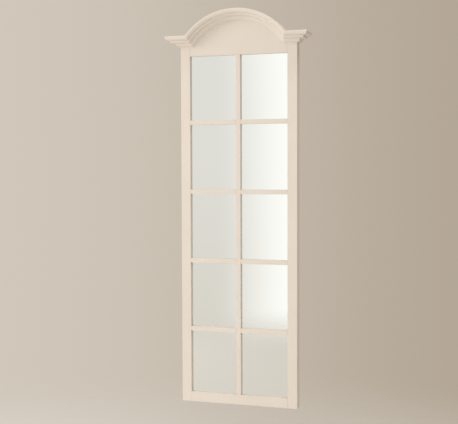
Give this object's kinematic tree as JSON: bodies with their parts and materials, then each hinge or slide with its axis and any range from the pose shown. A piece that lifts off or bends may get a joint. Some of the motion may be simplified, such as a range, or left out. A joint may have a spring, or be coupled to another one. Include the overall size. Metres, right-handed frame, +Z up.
{
  "type": "window pane wall mirror",
  "caption": "Tall wall mirror in a cream painted wood frame, divided by glazing bars like a window, with a moulded crown arched over the middle.",
  "frame": {"origin": "on the wall plane and the mirror's centre line, at the height where the wall hooks hold the two raised rings", "axes": "+Z up, +Y into the wall, so the mirror faces -Y, +X to the right for someone who looks at the glass"},
  "size_m": [0.61, 0.0938, 1.65],
  "materials": {
    "cream_paint": "satin paint",
    "silvered_mirror": "polished",
    "brown_hardboard": "smooth pressed board",
    "black_foam": "closed-cell foam",
    "beech_dowel": "raw",
    "zinc_steel": "bright zinc plated",
    "grey_rubber": "matt",
    "grey_felt": "pressed felt"
  },
  "bodies": {
    "frame": {"arch_moulding": "cream_paint", "backing_board": "brown_hardboard", "bottom_foam_strip": "black_foam", "bottom_rail": "cream_paint", "centre_bar": "cream_paint", "cross_bar_1": "cream_paint", "cross_bar_2": "cream_paint", "cross_bar_3": "cream_paint", "cross_bar_4": "cream_paint", "header_board": "cream_paint", "left_ear_moulding": "cream_paint", "left_foam_strip": "black_foam", "left_hanger_strap": "zinc_steel", "left_header_lower_dowel": "beech_dowel", "left_header_upper_dowel": "beech_dowel", "left_lower_button_screw": "zinc_steel", "left_lower_strap_screw": "zinc_steel", "left_lower_wall_bumper": "grey_felt", "left_middle_button_screw": "zinc_steel", "left_rail_back_dowel": "beech_dowel", "left_rail_front_dowel": "beech_dowel", "left_return_moulding": "cream_paint", "left_setting_block": "grey_rubber", "left_stile": "cream_paint", "left_upper_button_screw": "zinc_steel", "left_upper_strap_screw": "zinc_steel", "left_upper_wall_bumper": "grey_felt", "mirror_glass": "silvered_mirror", "right_ear_moulding": "cream_paint", "right_foam_strip": "black_foam", "right_hanger_strap": "zinc_steel", "right_header_lower_dowel": "beech_dowel", "right_header_upper_dowel": "beech_dowel", "right_lower_button_screw": "zinc_steel", "right_lower_strap_screw": "zinc_steel", "right_lower_wall_bumper": "grey_felt", "right_middle_button_screw": "zinc_steel", "right_rail_back_dowel": "beech_dowel", "right_rail_front_dowel": "beech_dowel", "right_return_moulding": "cream_paint", "right_setting_block": "grey_rubber", "right_stile": "cream_paint", "right_upper_button_screw": "zinc_steel", "right_upper_strap_screw": "zinc_steel", "right_upper_wall_bumper": "grey_felt", "top_foam_strip": "black_foam"},
    "left_ring": {"left_hanging_ring": "zinc_steel"},
    "left_lower_button": {"left_lower_turn_button": "zinc_steel"},
    "left_middle_button": {"left_middle_turn_button": "zinc_steel"},
    "left_upper_button": {"left_upper_turn_button": "zinc_steel"},
    "right_ring": {"right_hanging_ring": "zinc_steel"},
    "right_lower_button": {"right_lower_turn_button": "zinc_steel"},
    "right_middle_button": {"right_middle_turn_button": "zinc_steel"},
    "right_upper_button": {"right_upper_turn_button": "zinc_steel"}
  },
  "joints": [
    {"name": "left_lower_button_turn", "type": "hinge", "parent": "frame", "child": "left_lower_button", "pos_m": [-0.228, -0.0192, -1.2995], "axis": [0, 1, 0], "range_deg": [-90, 90]},
    {"name": "left_middle_button_turn", "type": "hinge", "parent": "frame", "child": "left_middle_button", "pos_m": [-0.228, -0.0192, -0.7995], "axis": [0, 1, 0], "range_deg": [-90, 90]},
    {"name": "left_upper_button_turn", "type": "hinge", "parent": "frame", "child": "left_upper_button", "pos_m": [-0.228, -0.0192, -0.2995], "axis": [0, 1, 0], "range_deg": [-90, 90]},
    {"name": "left_ring_swing", "type": "hinge", "parent": "frame", "child": "left_ring", "pos_m": [-0.15, -0.0162, -0.0215], "axis": [1, 0, 0], "range_deg": [0, 180]},
    {"name": "right_lower_button_turn", "type": "hinge", "parent": "frame", "child": "right_lower_button", "pos_m": [0.228, -0.0192, -1.2995], "axis": [0, 1, 0], "range_deg": [-90, 90]},
    {"name": "right_middle_button_turn", "type": "hinge", "parent": "frame", "child": "right_middle_button", "pos_m": [0.228, -0.0192, -0.7995], "axis": [0, 1, 0], "range_deg": [-90, 90]},
    {"name": "right_upper_button_turn", "type": "hinge", "parent": "frame", "child": "right_upper_button", "pos_m": [0.228, -0.0192, -0.2995], "axis": [0, 1, 0], "range_deg": [-90, 90]},
    {"name": "right_ring_swing", "type": "hinge", "parent": "frame", "child": "right_ring", "pos_m": [0.15, -0.0162, -0.0215], "axis": [1, 0, 0], "range_deg": [0, 180]}
  ]
}
